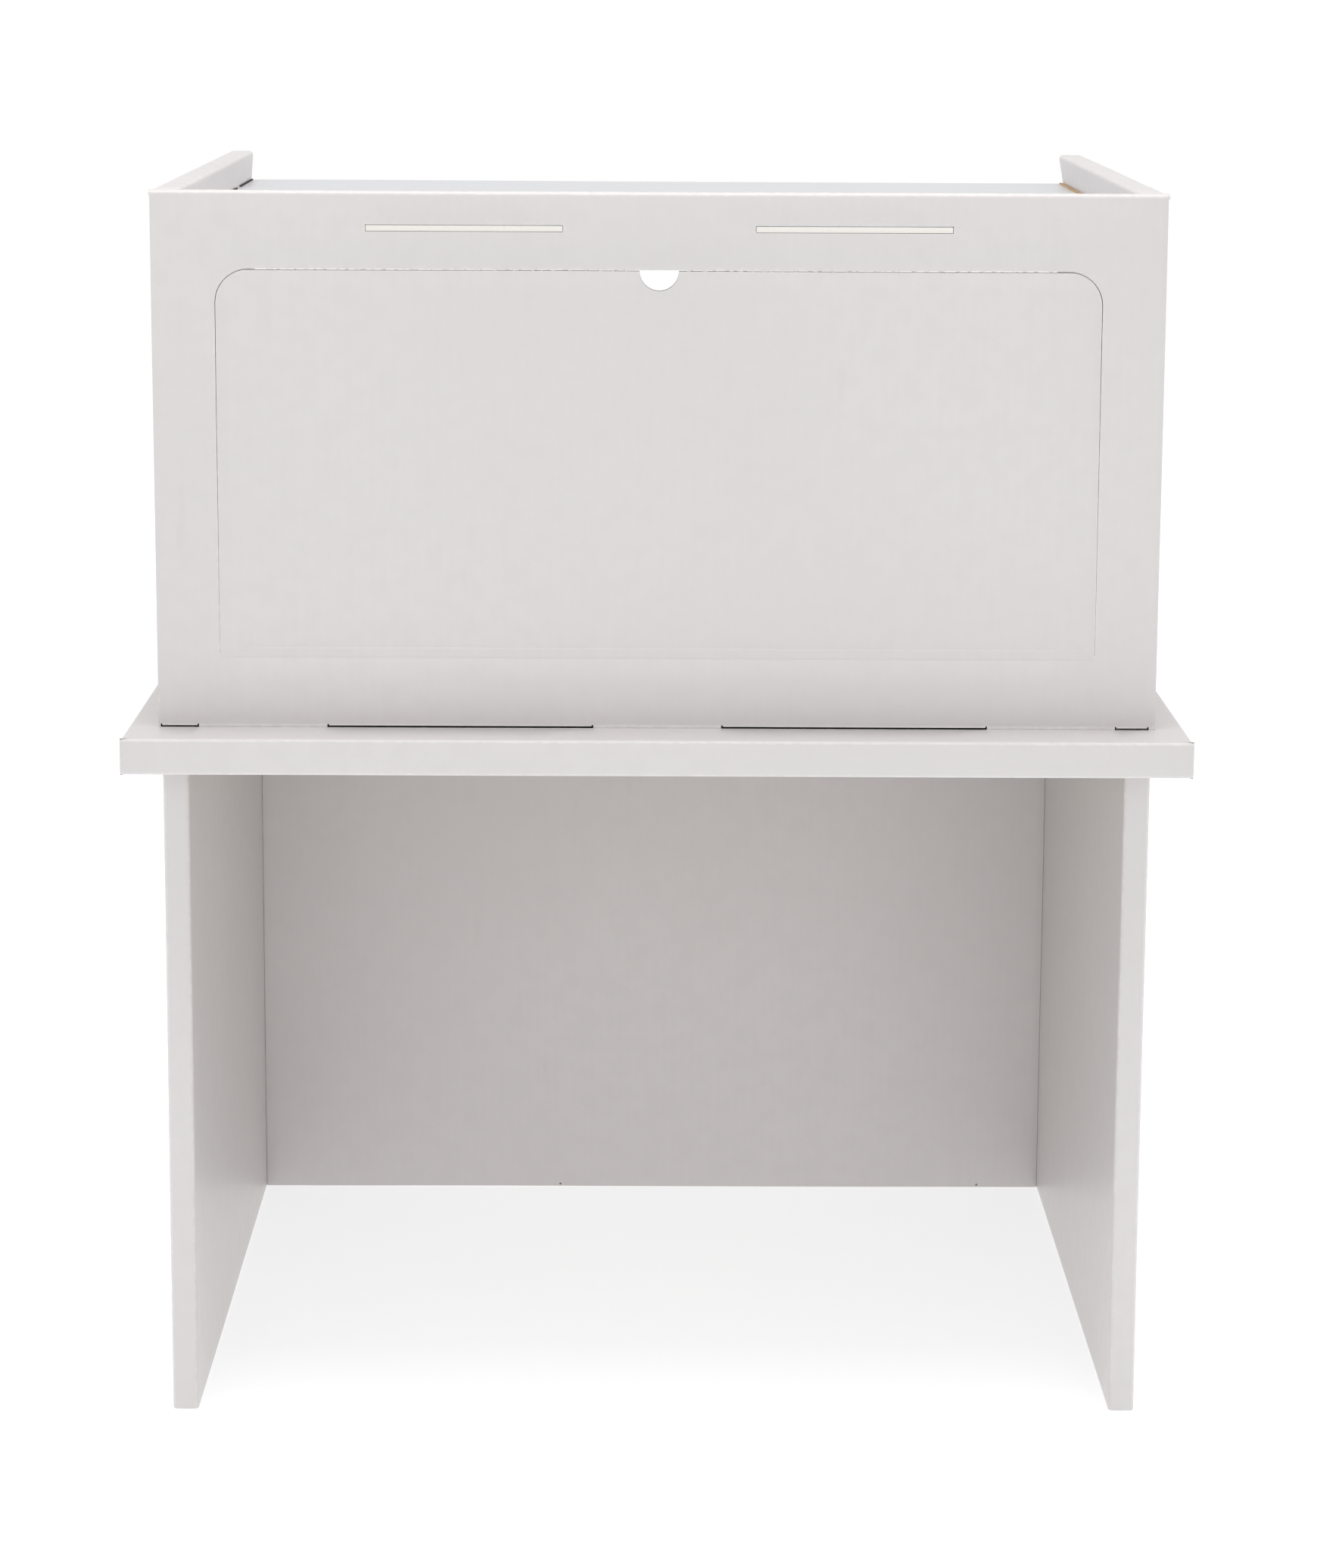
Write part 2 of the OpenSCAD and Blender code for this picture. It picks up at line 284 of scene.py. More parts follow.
def make_board(
    piece, node, finishes, across, thick=board, edge=0.35, body="desk"
):
    """Turns a shaped sheet into board: thickness inwards, softened edges, finishes and notes.

    `edge` is the widest softening. A piece's smallest faces narrow it, on some to next to nothing.
    """
    tidy_sheet()
    bpy.ops.object.mode_set(mode="OBJECT")
    for finish in finishes:
        piece.data.materials.append(finish)
    reverse = piece.vertex_groups.new(name="reverse")
    buckle(piece)
    body_of_board = piece.modifiers.new("thickness", "SOLIDIFY")
    body_of_board.thickness = thick * MM
    body_of_board.offset = -1
    body_of_board.material_offset = 1
    body_of_board.material_offset_rim = 2
    body_of_board.shell_vertex_group = reverse.name
    soft = piece.modifiers.new("softened", "BEVEL")
    soft.width = edge * MM
    soft.segments = 2
    soft.limit_method = "ANGLE"
    soft.angle_limit = soft_angle
    soft.use_clamp_overlap = True
    apply_all(piece)
    note(
        piece,
        "depth",
        lambda point: sum(g.weight for g in point.groups if g.group == reverse.index),
    )
    piece.vertex_groups.clear()
    note(piece, "across", lambda point: across(point.co))
    note_folds(piece)
    bpy.ops.object.shade_smooth_by_angle(angle=smooth_angle)
    return settle(piece, node, body)


def settle(piece, node, body="desk"):
    """Puts a finished piece on its body and in place of its CAD node, if it has them."""
    if body:
        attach(piece, body)
    if node:
        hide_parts(node)
    return piece


def mirrored(piece, name):
    """A copy, with its own mesh, on the other side of the desk."""
    work_on(piece)
    bpy.ops.object.duplicate(linked=False)
    copy = bpy.context.object
    copy.name = copy.data.name = name
    bpy.ops.object.mode_set(mode="EDIT")
    bpy.ops.mesh.select_all(action="SELECT")
    bpy.ops.transform.resize(value=(-1, 1, 1), center_override=(0, 0, 0))
    bpy.ops.mesh.flip_normals()
    return copy


def block(low, high, soft_edges, softening, rows=()):
    """A solid block, some of its edges softened, with lines of points between places along Y."""
    piece = start("cube", "block", low, high)
    round_off(soft_edges, softening, 2)
    fill(Y, rows)
    bpy.ops.object.mode_set(mode="OBJECT")
    return piece


def make_solid(blocks, name, finish, across, body="desk", flat=False):
    """Joins solid blocks into one piece of a single finish."""
    work_on(blocks[0])
    for other in blocks[1:]:
        other.select_set(True)
    if blocks[1:]:
        bpy.ops.object.join()
    piece = bpy.context.object
    piece.name = piece.data.name = name
    piece.data.materials.append(finish)
    if not flat:
        buckle(piece)
        apply_all(piece)
    note(piece, "across", across)
    return settle(piece, None, body)


# ---------------------------------------------------------------------------
# Finishes
# ---------------------------------------------------------------------------


def shade(red, green, blue):
    """A colour from its 0 to 255 screen values."""
    return tuple(((c / 255 + 0.055) / 1.055) ** 2.4 for c in (red, green, blue)) + (1.0,)


class Signal:
    """A number that varies over a surface. Sums and products of signals add their Math nodes."""

    def __init__(self, finish, socket):
        self.finish, self.socket = finish, socket

    def maths(self, operation, other, swapped=False):
        pair = (other, self) if swapped else (self, other)
        return self.finish.node("Math", {"operation": operation}, dict(enumerate(pair)))

    def __add__(self, other):
        return self.maths("ADD", other)

    def __sub__(self, other):
        return self.maths("SUBTRACT", other)

    def __mul__(self, other):
        return self.maths("MULTIPLY", other)

    def __rsub__(self, other):
        return self.maths("SUBTRACT", other, swapped=True)

    __radd__, __rmul__ = __add__, __mul__


class Finish:
    """A material being mixed: one Principled shader, and whatever feeds it."""

    def __init__(self, name, **fixed):
        self.material = bpy.data.materials.new(name)
        self.material.use_nodes = True
        self.tree = self.material.node_tree
        self.tree.nodes.clear()
        self.shader = self.tree.nodes.new("ShaderNodeBsdfPrincipled")
        output = self.tree.nodes.new("ShaderNodeOutputMaterial")
        self.tree.links.new(self.shader.outputs[0], output.inputs[0])
        self.paint(**fixed)
        self.place = self.node("TexCoord", output="Object")

    def node(self, kind, settings=None, inputs=None, output=0):
        """Adds a node, sets what it is, then feeds its sockets with numbers, colours or signals."""
        made = self.tree.nodes.new("ShaderNode" + kind)
        for name, value in (settings or {}).items():
            setattr(made, name, value)
        for socket, value in (inputs or {}).items():
            self.feed(made.inputs[socket], value)
        return Signal(self, made.outputs[output])

    def feed(self, socket, value):
        if isinstance(value, Signal):
            self.tree.links.new(value.socket, socket)
        else:
            socket.default_value = value

    def paint(self, **sockets):
        """Feeds the shader's own sockets, named with _ for a space."""
        for name, value in sockets.items():
            self.feed(self.shader.inputs[name.replace("_", " ")], value)

    def noise(self, scale, detail=2.0, stretch=None):
        """Noise with about `scale` lumps to the metre, stretched along an axis if asked."""
        place = self.place
        if stretch:
            place = self.node("Mapping", {}, {"Vector": place, "Scale": stretch})
        return self.node(
            "TexNoise", {}, {"Vector": place, "Scale": scale, "Detail": detail}, "Fac"
        )

    def step(self, signal, low, high):
        """0 below low, 1 above high, and smooth between."""
        return self.node(
            "MapRange",
            {"interpolation_type": "SMOOTHSTEP"},
            {"Value": signal, "From Min": low, "From Max": high},
            "Result",
        )

    def number(self, name):
        """The number of that name which was written on the points of the piece."""
        return self.node("Attribute", {"attribute_name": name}, output="Fac")

    def mix(self, share, first, second, how="MIX"):
        kind = {"data_type": "RGBA", "blend_type": how}
        return self.node("Mix", kind, {0: share, 6: first, 7: second}, 2)

    def wave(self, signal, length):
        """A sine of the signal, with that wavelength."""
        return self.node("Math", {"operation": "SINE"}, {0: signal * (2 * math.pi / length)})

    def relief(self, height):
        """The surface's normals over a height in metres."""
        return self.node("Bump", {}, {"Strength": 1.0, "Distance": 1.0, "Height": height}, "Normal")


def coated_board(name, tone, fleck, roughness, washboard):
    """White-grey coated liner: cloudy print, paper grain, flutes that show through, folds lightened
    by wear and by painted highlight.
    """
    coat = Finish(name, Specular_IOR_Level=0.5, Coat_Roughness=0.32, Coat_IOR=1.5, IOR=1.47)
    cloud = coat.noise(3.2, 3)
    mottle = coat.noise(70, 3)
    grain = coat.noise(900, 2)
    scuff = coat.noise(34, 4, stretch=(1, 1, 0.25))
    wear_and_highlight = coat.number("wear_and_highlight")
    # Rubbed patches on folds and edges: real wear, and also lighter as a painted highlight
    rubbed_and_highlit = coat.step(wear_and_highlight, 0.86, 1.0) * coat.step(coat.noise(160, 3), 0.42, 0.66)
    flutes = coat.wave(coat.number("across"), flute * MM)

    colour = coat.mix(coat.step(cloud, 0.3, 0.7), shade(*[c - 3 for c in tone]), shade(*tone))
    colour = coat.mix(coat.step(mottle, 0.35, 0.7) * 0.45, colour, shade(*[c - 5 for c in tone]))
    colour = coat.mix(coat.step(grain, 0.66, 0.74) * 0.35, colour, fleck)
    colour = coat.mix(coat.step(flutes, -1.0, 1.0) * 0.06, colour, shade(*[c - 8 for c in tone]))
    colour = coat.mix(rubbed_and_highlit * 0.22, colour, shade(236, 233, 229))
    colour = coat.mix(coat.step(scuff, 0.68, 0.78) * 0.20, colour, shade(190, 184, 178))
    coat.paint(
        Base_Color=colour,
        Roughness=roughness + 0.10 * mottle + 0.16 * rubbed_and_highlit + 0.06 * coat.step(scuff, 0.6, 0.8),
        Coat_Weight=0.6 - 0.25 * rubbed_and_highlit,
        Normal=coat.relief(
            flutes * (washboard * MM) + grain * (0.006 * MM) + mottle * (0.02 * MM)
        ),
    )
    return coat.material


def plain_board(name, tone, dark):
    """Uncoated paper: long fibres, pulp clouds, flutes that show through."""
    paper = Finish(name, Specular_IOR_Level=0.2)
    fibres = paper.noise(420, 4, stretch=(1, 1, 0.12))
    cross = paper.noise(520, 4, stretch=(0.15, 1, 1))
    pulp = paper.noise(24, 4)
    flutes = paper.wave(paper.number("across"), flute * MM)
    threads = paper.step(fibres, 0.56, 0.72) + paper.step(cross, 0.6, 0.74)
    colour = paper.mix(paper.step(pulp, 0.3, 0.75) * 0.3, shade(*tone), shade(*dark))
    colour = paper.mix(threads * 0.2, colour, shade(*[c - 20 for c in dark]))
    colour = paper.mix(paper.step(flutes, -1.0, 1.0) * 0.10, colour, shade(*dark))
    paper.paint(
        Base_Color=colour,
        Roughness=0.85 + 0.08 * pulp,
        Normal=paper.relief(fibres * (0.03 * MM) + cross * (0.02 * MM) + flutes * (0.05 * MM)),
    )
    return paper.material


def cut_edge(name, light=1.0):
    """The cut side of corrugated board: two liners, the fluted sheet between them, and hollows in
    painted shade.
    """
    # light scales every colour; well below 1 it is painted shade
    toned = lambda *colour: shade(*[value * light for value in colour])
    edge = Finish(name, Specular_IOR_Level=0.2)
    depth = edge.number("depth")
    swing = edge.wave(edge.number("across"), flute * MM)
    away = edge.node("Math", {"operation": "ABSOLUTE"}, {0: depth - (swing * 0.34 + 0.5)})
    medium = 1 - edge.step(away, 0.07, 0.13)
    liner = 1 - edge.step(depth, 0.10, 0.15) + edge.step(depth, 0.85, 0.9)
    fray = edge.noise(1400, 3)
    paper = edge.mix(edge.step(fray, 0.35, 0.7), toned(238, 230, 218), toned(216, 202, 182))
    # The hollows between the flutes: painted shade
    colour = edge.mix(medium, toned(134, 118, 98), paper)
    colour = edge.mix(liner, colour, edge.mix(fray, toned(250, 247, 242), toned(234, 228, 218)))
    raised = edge.node("Math", {"operation": "MAXIMUM"}, {0: medium, 1: liner})
    edge.paint(
        Base_Color=colour,
        Roughness=0.86 + 0.1 * fray,
        Normal=edge.relief(raised * (0.25 * MM) + fray * (0.05 * MM)),
    )
    return edge.material


outside = coated_board("coated_board", (210, 206, 205), shade(196, 188, 178), 0.40, 0.013)
glossy = coated_board("gloss_board", (208, 209, 213), shade(201, 201, 204), 0.12, 0.012)
inside = plain_board("uncoated_board", (216, 208, 196), (200, 189, 173))
kraft = plain_board("kraft_board", (186, 156, 120), (166, 134, 98))
# Near-black kraft: painted shade, for the dark slits at the wall's foot and the gap at the left rail
painted_shade_kraft = plain_board("painted_shade_kraft_board", (52, 43, 34), (40, 33, 26))
edges = cut_edge("cut_edge", 0.95)
# Cut edge at 0.45: painted shade for the dark lines of the knife cuts
painted_shade_edges = cut_edge("cut_edge_painted_shade", 0.45)
sheet_finishes = [outside, inside, edges]
# Board whose cut edges are in painted shade
painted_shade_cut_finishes = [outside, inside, painted_shade_edges]


# ---------------------------------------------------------------------------
# The tabletop
# ---------------------------------------------------------------------------

hem = 45.0  # width of the strip turned in underneath
slit_top = top + 1.3  # the front wall's edge, where it stands over its foot tabs
feet = ((46.0, 237.0), (-237.0, -46.0), (-356.5, -329.0), (329.0, 353.5))  # the wall's foot tabs
tuck = board + slack  # how far the side fascias stop short of the front one


def over_a_foot(at):
    """Whether a place is over one of the foot tabs."""
    return any(low < at.x < high for low, high in feet)


def make_tray():
    """Top, four fascias and turned-in hems from one sheet. The side fascias tuck in behind."""
    piece = start("cube", "tabletop_tray_board", tray_low, tray_high)
    pick("FACE", lies_at(Z, tray_low.z))
    bpy.ops.mesh.inset(thickness=hem * MM, depth=0)
    bpy.ops.mesh.delete(type="FACE")
    cut(Y, both(tray_high.y - tuck))
    end = lambda at: abs(at.y) > tray_high.y - tuck - close
    side = lambda at: same(abs(at.x), tray_high.x)
    remove(lambda at, part: side(at) and end(at))
    long_edge = lambda at: same(abs(at.y), tray_high.y)
    level = lambda at: same(at.z, top) or same(at.z, tray_low.z)
    round_off(lambda at, part: level(at) and (side(at) and not end(at) or long_edge(at)))
    slot_front, slot_back = front - slack, front + board + slack
    cut(X, [x for foot in feet for x in foot])
    cut(Y, [slot_front, slot_back])
    remove(
        lambda at, part: same(at.z, top) and slot_front < at.y < slot_back and over_a_foot(at)
    )
    fill(X, [tray_low.x + margin, tray_high.x - margin])
    fill(Y, [tray_low.y + 1.5 * margin, tray_high.y - 1.5 * margin])
    return make_board(piece, "tabletop_tray", sheet_finishes, lambda co: co.y + co.z)


# ---------------------------------------------------------------------------
# Legs and back panel
# ---------------------------------------------------------------------------


def wrap(name, low, high, ends=fold):
    """A hollow panel folded round from one sheet: open at its top, closed at its foot."""
    piece = start("cube", name, low, high)
    remove(lies_at(Z, high.z))
    round_off(runs_along(Z), ends)
    return piece


def make_legs():
    """Both legs: two skins, a rounded front, a foot folded under and a seam down the back.

    The right one has a nick through the fold at the front of its foot.
    """
    low = Vector(leg_low)
    high = Vector((leg_high.x, leg_high.y, tray_low.z))
    right = wrap("right_leg_board", low, high)
    foot_fold, half_seam, seam_foot, half_nick = 1.2, 0.4, 6.0, 0.5
    round_off(lambda at, part: same(at.z, 0) and len(part.link_faces) == 2, foot_fold, 3)
    fill(Y, [low.y + margin, high.y - margin])
    fill(Z, [low.z + margin, high.z])
    seam = (low.x + high.x) / 2 + 3
    cut(X, [seam - half_seam, seam + half_seam])
    remove(
        lambda at, part: abs(at.x - seam) < half_seam and at.y > high.y - 0.5
        and at.z > seam_foot
    )
    left = mirrored(right, "left_leg_board")
    work_on(right, "EDIT")
    nick = seam - 2
    cut(X, [nick - half_nick, nick + half_nick])
    remove(
        lambda at, part: abs(at.x - nick) < half_nick and at.y < low.y + 1 and 0.5 < at.z < 2.5
    )
    for leg, node in ((left, "left_leg"), (right, "right_leg")):
        work_on(leg, "EDIT")
        make_board(leg, node, sheet_finishes, lambda co: co.y + co.x)


def make_back_panel():
    """The panel between the legs, with two small pits in the front skin at its foot."""
    low = Vector((-leg_low.x, back_low.y, 0))
    high = Vector((leg_low.x, back_high.y, tray_low.z))
    end_fold, foot_fold = 0.8, 1.6
    pit_low, pit_high, half_pit = 1.2, 2.8, 0.8
    piece = wrap("back_panel_board", low, high, end_fold)
    round_off(
        lambda at, part: same(at.z, 0) and abs(at.x) < 1 and len(part.link_faces) == 2,
        foot_fold,
        3,
    )
    for pit in (-80.7, 286.0):
        cut(X, [pit - half_pit, pit + half_pit])
        cut(Z, [pit_low, pit_high])
        remove(
            lambda at, part: abs(at.x - pit) < half_pit and pit_low < at.z < pit_high
            and at.y < low.y + 0.5
        )
    fill(X, [low.x + margin, high.x - margin])
    fill(Z, [low.z + margin, high.z])
    return make_board(piece, "back_panel", sheet_finishes, lambda co: co.x)


# ---------------------------------------------------------------------------
# The hutch
# ---------------------------------------------------------------------------

cut_gap = 0.7  # what the knife leaves open over the flap, and half of it at each side
corner = 24.0  # radius of the flap's top corners
notch = 14.0  # radius of the finger notch
slot_low, slot_high = shelf_high.z - board - slack, shelf_high.z + 0.8
slot_from, slot_to = 68.0, 207.0  # how far out the shelf's slots begin and end
rim = board  # outer radius of the turned-over rim
hook_wide, hook_tall = 1.2, 0.9  # where the knife overran, at each end of a foot slit
flare = 1.6  # height over which the wall's foot edge stands out
flare_out = 0.35  # and how far
dent_deep, dent_low, dent_high = 1.0, 541.0, 546.0  # a dent in the wall's left edge


def rounded_opening(half_width, low, high):
    """Scores a sheet along the flap's outline: two sides, foot and top, with round top corners."""
    cut(X, both(half_width))
    cut(Z, [low, high])
    round_corner(lambda at, part: same(abs(at.x), half_width) and same(at.z, high), corner)


def make_front_wall():
    """The wall's sheet: opening, shelf slots, foot slits, and a rim turned over to the inside."""
    rim_z = wall_high.z - rim
    piece = upright("front_wall_board", (wall_low.x, top), (wall_high.x, rim_z), front)
    open_x, open_z = flap_high.x + cut_gap / 2, flap_high.z + cut_gap
    rounded_opening(open_x, hinge.z, open_z)
    remove(lambda at, part: abs(at.x) < 1 and hinge.z < at.z < open_z)
    cut(X, both(slot_from, slot_to))
    cut(Z, [slot_low, slot_high])
    remove(lambda at, part: slot_from < abs(at.x) < slot_to and slot_low < at.z < slot_high)
    cut(X, sorted({x for foot in feet for x in foot if abs(x) < wall_high.x}))
    cut(X, both(inner_side))
    cut(Z, [slit_top])
    remove(lambda at, part: at.z < slit_top and over_a_foot(at))
    whole = [foot for foot in feet if max(foot) < wall_high.x and min(foot) > wall_low.x]
    cut(X, [x for a, b in whole for x in (a + hook_wide, b - hook_wide)])
    cut(Z, [slit_top + hook_tall, slit_top + flare])
    remove(
        lambda at, part: at.z < slit_top + hook_tall
        and any(a < at.x < a + hook_wide or b - hook_wide < at.x < b for a, b in whole)
    )
    dent_x = wall_low.x + dent_deep
    cut(X, [dent_x])
    cut(Z, [dent_low, dent_high])
    remove(lambda at, part: at.x < dent_x and dent_low < at.z < dent_high)
    fill(X, [wall_low.x, -open_x, -slot_to, -slot_from, slot_from, slot_to, open_x, wall_high.x])
    fill(Z, [slit_top + margin, hinge.z, open_z, rim_z])
    shift(lambda at, part: at.z < slit_top + 0.1, (0, -flare_out, 0))
    centre = Vector((0, front + rim, rim_z)) * MM
    pick("EDGE", lies_at(Z, rim_z))
    bpy.ops.mesh.spin(steps=4, angle=math.pi / 2, center=centre, axis=(1, 0, 0))
    pick(
        "EDGE",
        lambda at, part: same(at.z, wall_high.z) and abs(at.x) < inner_side
        and len(part.link_faces) == 1 and abs(part.verts[0].co.z - part.verts[1].co.z) < 1e-6,
    )
    bpy.ops.mesh.spin(steps=4, angle=math.pi / 2, center=centre, axis=(1, 0, 0))
    draw_out(
        lambda at, part: same(at.y, front + 2 * rim) and same(at.z, rim_z)
        and len(part.link_faces) == 1,
        (0, 0, slot_high - rim_z + 1),
    )
    bpy.ops.mesh.select_all(action="SELECT")
    bpy.ops.mesh.normals_make_consistent(inside=False)
    data = bmesh.from_edit_mesh(piece.data)
    face = max(data.faces, key=lambda f: f.calc_area())
    if face.normal.y > 0:
        bpy.ops.mesh.flip_normals()
    # The two ends of the rim splay a little, outwards and forwards
    splay_tall, splay_out, splay_forward = 3.2, 0.9, 0.3
    for side in (-1, 1):
        shift(
            lambda at, part: at.x * side > wall_high.x - 0.1 and at.z > wall_high.z - splay_tall
            and at.y < front + rim - 0.5,
            (side * splay_out, -splay_forward, 0),
        )
    make_board(
        piece, "hutch_front_wall", painted_shade_cut_finishes, lambda co: co.x, thick=board - 0.06, edge=0.2
    )
    # The cut edges get painted shade for the dark knife lines, all but the wall's own two sides
    piece.data.materials.append(edges)
    painted_shade_slot, clean = 2, 3
    for face in piece.data.polygons:
        if face.material_index == painted_shade_slot and abs(face.center.x) / MM > open_x + 10:
            face.material_index = clean
    return piece


def make_foot_tabs():
    """The front wall's tabs, thinner than the wall, which go down through the tabletop's slots.
    Near-black, as painted shade for the slits.
    """
    thin, down = 0.7, 9.0
    back, tab_top = front + board - 0.1, slit_top + 0.5
    tabs = [
        block((low, back - thin, top - down), (high, back, tab_top), lies_at(Z, tab_top), 0.4)
        for low, high in feet
    ]
    # Near-black tabs: painted shade for the slits over them
    make_solid(
        tabs, "front_foot_tabs", painted_shade_kraft, lambda point: point.co.x, flat=True
    )


def make_flap():
    """The flap's sheet: rounded corners, half-round finger notch, sides that close up downwards."""
    piece = upright(
        "drop_flap_board",
        (flap_low.x - 40, flap_low.z - 40),
        (flap_high.x + 40, flap_high.z + 40),
        front,
    )
    rounded_opening(flap_high.x, flap_low.z, flap_high.z)
    remove(lambda at, part: not (abs(at.x) < 1 and flap_low.z < at.z < flap_high.z))
    cut(X, both(notch))
    cut(Z, [flap_high.z - notch])
    round_corner(
        lambda at, part: same(abs(at.x), notch) and same(at.z, flap_high.z - notch),
        notch - 0.01,
        10,
    )
    remove(lambda at, part: abs(at.x) < 2 and at.z > flap_high.z - notch + 2)
    tidy_sheet()
    fill(X, both(flap_high.x - 12, 26))
    fill(Z, [flap_low.z + margin, flap_high.z - 26])
    # The top edge dips towards its corners. A point that has sunk by 0.3 is left where it is.
    dip, spread = 0.09, 0.047
    for step in range(8):
        reach = flap_high.x - 30 - 24 * step
        shift(lambda at, part: at.z > flap_high.z - 0.3 and abs(at.x) > reach, (0, 0, -dip))
    # The sides stand out a little further at each step down
    for step in range(7):
        level = flap_high.z - 40 - 38 * step
        for side in (-1, 1):
            shift(
                lambda at, part: at.x * side > flap_high.x - 0.6 and at.z < level,
                (side * spread, 0, 0),
            )
    # The flap's cut edges are in painted shade
    return make_board(
        piece, "drop_flap", painted_shade_cut_finishes, lambda co: co.x, body="flap", edge=0.12
    )


def make_cut_fibres():
    """Paper left bridging the knife's cut: a pair of tufts, one on the wall and one on the flap."""
    draw = random.Random(12)
    middle = flap_high.z + cut_gap / 2
    last_x = flap_high.x - 30
    tall, near_face, far_face = 0.34, front + 0.08, front + 0.9
    for body, side in (("desk", 1), ("flap", -1)):
        tufts = []
        x = -last_x
        while x < last_x:
            x += draw.uniform(5, 15)
            if abs(x) < notch + 4 or x > last_x:
                continue
            wide = draw.uniform(0.8, 3.4)
            low = (x - wide / 2, near_face, middle + (side - 1) * tall / 2)
            high = (x + wide / 2, far_face, middle + (side + 1) * tall / 2)
            tufts.append(block(low, high, runs_along(Z), 0.15))
        make_solid(
            tufts,
            f"cut_fibres_{body}",
            inside,
            lambda point: point.co.x,
            body,
        )


def make_sides():
    """Both hollow sides. Their tops stand above the shelf as rails, whose inner skins lean out."""
    low = Vector((side_low.x, side_low.y, top))
    high = Vector(side_high)
    right = start("cube", "hutch_right_side_board", low, high)
    remove(lambda at, part: same(at.z, low.z) or same(at.y, low.y))
    round_off(
        lambda at, part: len(part.link_faces) == 2 and (same(at.z, high.z) or same(at.y, high.y))
    )
    rail_foot = shelf_high.z + 1.5
    fill(Y, [low.y, high.y - margin])
    fill(Z, [low.z, shelf_high.z - 14, rail_foot, high.z - 4])
    left = mirrored(right, "hutch_left_side_board")
    for piece, node, side, lean in (
        (left, "hutch_left_side", -1, 1.3),
        (right, "hutch_right_side", 1, 3.2),
    ):
        work_on(piece, "EDIT")
        shift(
            lambda at, part: abs(at.x) < low.x + fold + 0.2 and abs(at.z - rail_foot) < 0.1,
            (side * lean, 0, 0),
        )
        make_board(piece, node, sheet_finishes, lambda co: co.y + co.x)


def make_shelf():
    """The glossy shelf: tabs through the front wall and into the rails, and a lip at the back."""
    shelf_front, lip = front + board + slack, shelf_high.y
    piece = start(
        "plane",
        "top_shelf_board",
        (-inner_side, shelf_front, shelf_high.z),
        (inner_side, lip, shelf_high.z),
    )
    cut(X, both(slot_from + slack, slot_to - slack))
    middle, apart, half_tab, tab_out = 12.5, 133.75, 30.0, 6.0
    tabs = [(middle + way * apart - half_tab, middle + way * apart + half_tab) for way in (-1, 1)]
    cut(Y, [end for tab in tabs for end in tab])
    draw_out(
        lambda at, part: same(at.y, shelf_front) and slot_from < abs(at.x) < slot_to,
        (0, front - shelf_front + 0.1, 0),
    )
    for side in (-1, 1):
        draw_out(
            lambda at, part: same(at.x, side * inner_side)
            and any(low < at.y < high for low, high in tabs),
            (side * tab_out, 0, 0),
        )
    across = runs_along(X)
    draw_out(
        lambda at, part: same(at.y, lip) and abs(at.x) < inner_side and across(at, part),
        (0, 0, shelf_low.z - shelf_high.z),
    )
    round_off(lambda at, part: same(at.y, lip) and same(at.z, shelf_high.z))
    fill(X, [-inner_side, inner_side])
    fill(Y, [shelf_front, lip - margin])
    return make_board(
        piece, "top_shelf", [glossy, inside, edges], lambda co: co.x
    )


def make_seams():
    """Beside the shelf: raw board in one long run at the right rail, and three short near-black runs
    at the left, painted shade for the gap there.
    """
    for name, side, wide, finish, runs in (
        ("right_rail_raw_edge", 1, 2.4, kraft, [(-150, 272)]),
        # The left strips are near-black: painted shade for the gap beside the shelf
        ("left_rail_gap_painted_shade", -1, 0.9, painted_shade_kraft, [(-90, 40), (60, 150), (175, 272)]),
    ):
        near, far = sorted((side * (inner_side + 0.05), side * (inner_side + wide)))
        strips = [
            block(
                (near, from_y, shelf_high.z - 2),
                (far, to_y, shelf_high.z + 1),
                runs_along(Y),
                0.3,
                rows=(from_y, to_y),
            )
            for from_y, to_y in runs
        ]
        make_solid(strips, name, finish, lambda point: point.co.y)


def make_crease():
    """The liner that runs on across the crease, with close rows of points along it."""
    half_liner, half_bend, proud = 4.0, 1.6, 0.015
    piece = upright(
        "flap_crease_liner",
        (flap_low.x, hinge.z - half_liner),
        (flap_high.x, hinge.z + half_liner),
        front - proud,
    )
    cut(Z, [hinge.z + step * 0.5 for step in range(-4, 5)])
    fill(X, [flap_low.x, flap_high.x])
    make_board(
        piece, None, sheet_finishes, lambda co: co.x, thick=0.3, edge=0.05, body=None
    )
    # The liner's own edges get no wear and no painted highlight
    for point in piece.data.attributes["wear_and_highlight"].data:
        point.value = 0.0
    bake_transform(piece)


make_tray()
make_legs()
make_back_panel()
make_front_wall()
make_foot_tabs()
make_flap()
make_cut_fibres()
make_sides()
make_shelf()
make_seams()
make_crease()

# What stays as the CAD made it gets its paper
for node in frame["nodes"]:
    shown = frame["nodes"][node]
    if shown.hide_render:
        continue
    shown.data.materials.clear()
    shown.data.materials.append(inside if node == "underside_panel" else kraft)


# ---------------------------------------------------------------------------
# Studio
# ---------------------------------------------------------------------------


white = (1.0, 1.0, 1.0, 1.0)
room_light = 0.70  # how brightly the walls light the desk
floor_glow = 0.62


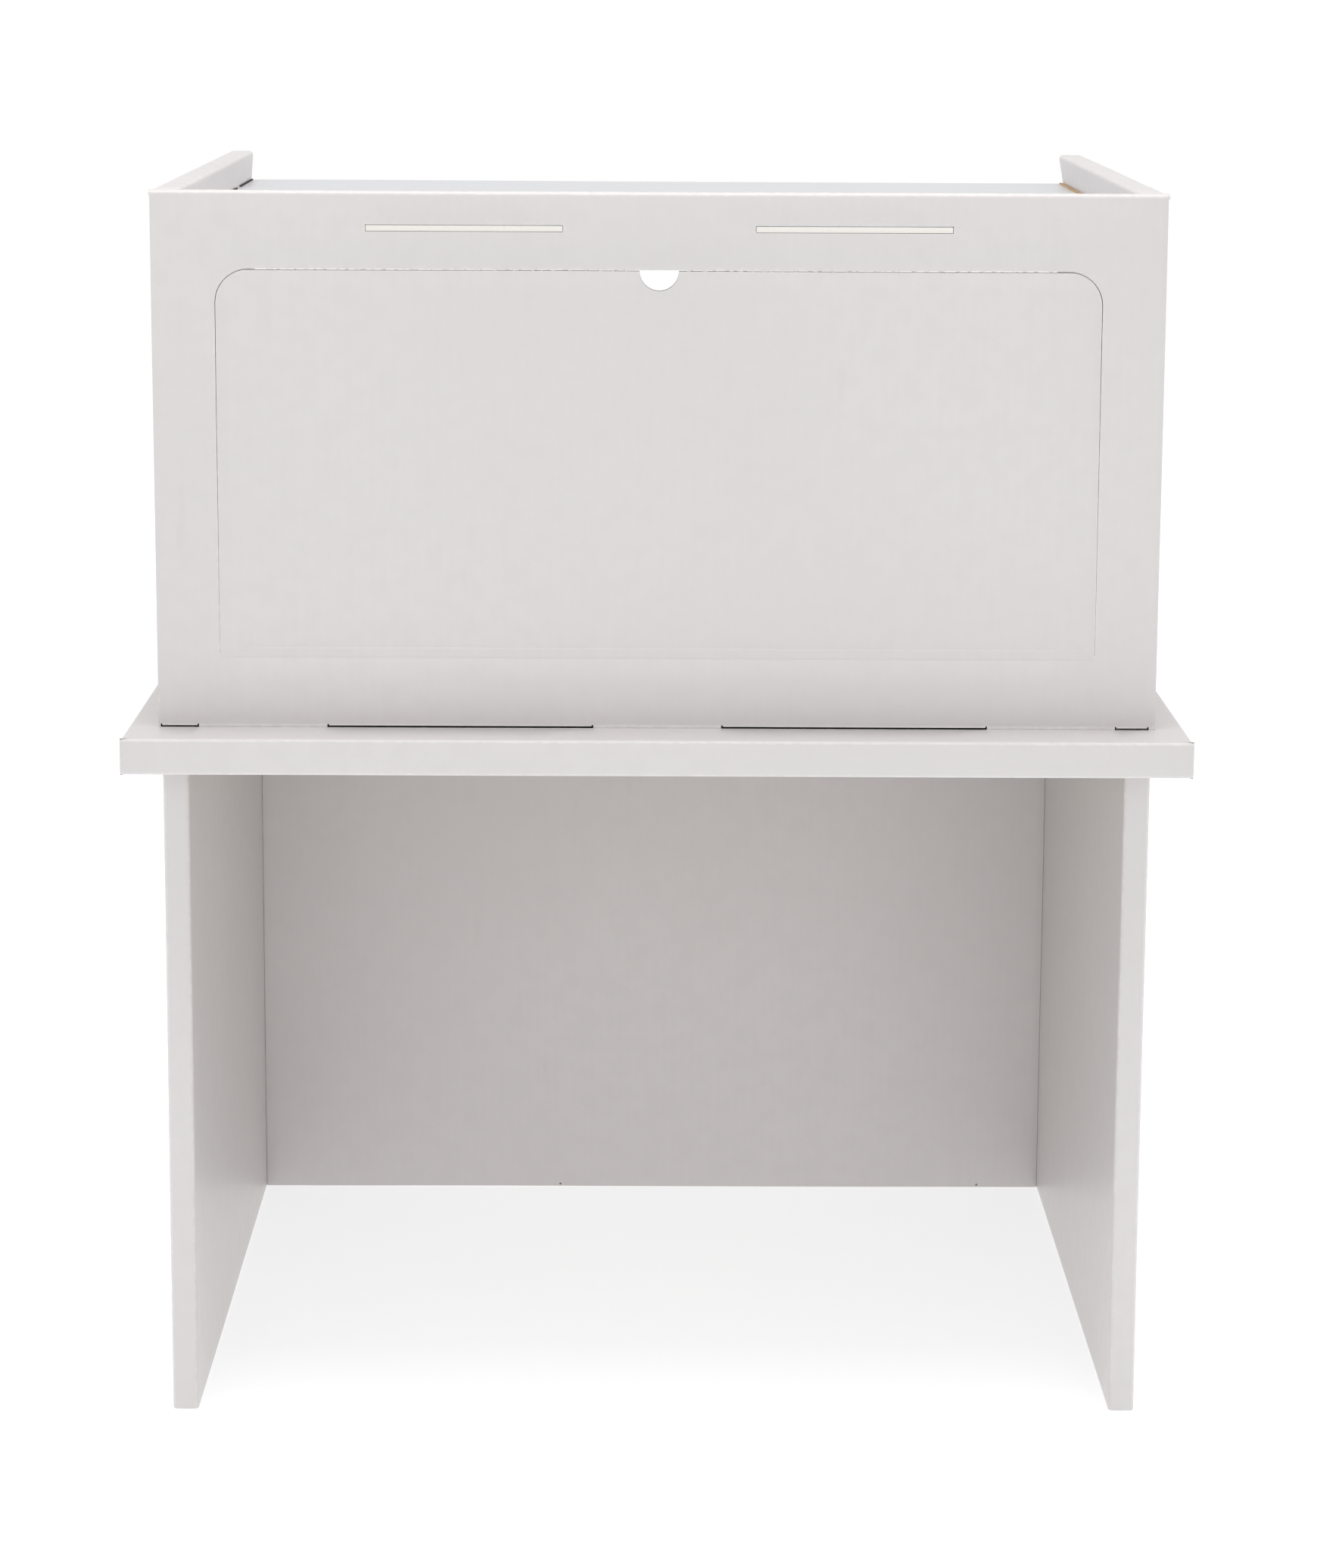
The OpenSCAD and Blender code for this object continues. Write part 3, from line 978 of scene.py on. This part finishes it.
def make_studio():
    """A pale paper floor, and plain walls that look white and light the desk evenly."""
    bpy.ops.object.select_all(action="DESELECT")
    bpy.ops.mesh.primitive_plane_add(size=14, location=(0, 0, -0.0004))
    floor = bpy.context.object
    floor.name = "studio_floor"
    paper = Finish(
        "floor_paper",
        Specular_IOR_Level=0.1,
        Emission_Color=white,
        Emission_Strength=floor_glow,
    )
    cloud = paper.noise(0.7, 2)
    paper.paint(
        Base_Color=paper.mix(cloud, shade(197, 199, 203), shade(201, 203, 207)),
        Roughness=0.85 + 0.1 * cloud,
    )
    floor.data.materials.append(paper.material)

    world = bpy.data.worlds.new("studio")
    world.use_nodes = True
    tree = world.node_tree
    walls = tree.nodes["Background"]
    walls.inputs["Color"].default_value = white
    seen = tree.nodes.new("ShaderNodeLightPath")
    glow = tree.nodes.new("ShaderNodeMapRange")
    glow.inputs["To Min"].default_value = room_light
    glow.inputs["To Max"].default_value = 1.0
    tree.links.new(seen.outputs["Is Camera Ray"], glow.inputs["Value"])
    tree.links.new(glow.outputs["Result"], walls.inputs["Strength"])
    bpy.context.scene.world = world
    bpy.context.scene.view_settings.view_transform = "Standard"


def soft_light(name, at, aim, size, power):
    """A soft box at a place in metres, turned to its aim, with its power in watts."""
    bpy.ops.object.light_add(type="AREA", location=at)
    lamp = bpy.context.object
    lamp.name = name
    lamp.data.shape = "RECTANGLE"
    lamp.data.size, lamp.data.size_y = size
    lamp.data.energy = power
    lamp.rotation_euler = (Vector(aim) - Vector(at)).to_track_quat("-Z", "Y").to_euler()


def make_camera():
    """The main view: a long lens in front of the desk, looking a little down."""
    tilt, yaw, roll = math.radians(9.56), math.radians(0.49), math.radians(0.30)
    ahead = Vector((math.sin(yaw) * math.cos(tilt), math.cos(yaw) * math.cos(tilt), -math.sin(tilt)))
    right = Vector((math.cos(yaw), -math.sin(yaw), 0))
    up = right.cross(ahead)
    right, up = (
        right * math.cos(roll) + up * math.sin(roll),
        up * math.cos(roll) - right * math.sin(roll),
    )
    bpy.ops.object.camera_add(location=(-0.0135, -2.9394, 1.070))
    camera = bpy.context.object
    camera.name = "studio_camera"
    camera.rotation_euler = Matrix((right, up, -ahead)).transposed().to_euler()
    camera.data.sensor_width = 36
    camera.data.lens = 87.33
    camera.data.shift_y = -0.12
    bpy.context.scene.camera = camera


make_studio()
for name, side in (("left_box", -1), ("right_box", 1)):
    soft_light(name, at=(side * 4.0, 0.2, 2.1), aim=(0, 0, 0.8), size=(1.6, 2.6), power=36)
soft_light("front_box", at=(0, -4.2, 1.4), aim=(0, 0, 0.4), size=(3.4, 1.8), power=16)
soft_light("top_box", at=(0, -0.4, 3.3), aim=(0, -0.1, 0.5), size=(2.4, 2.0), power=50)
make_camera()
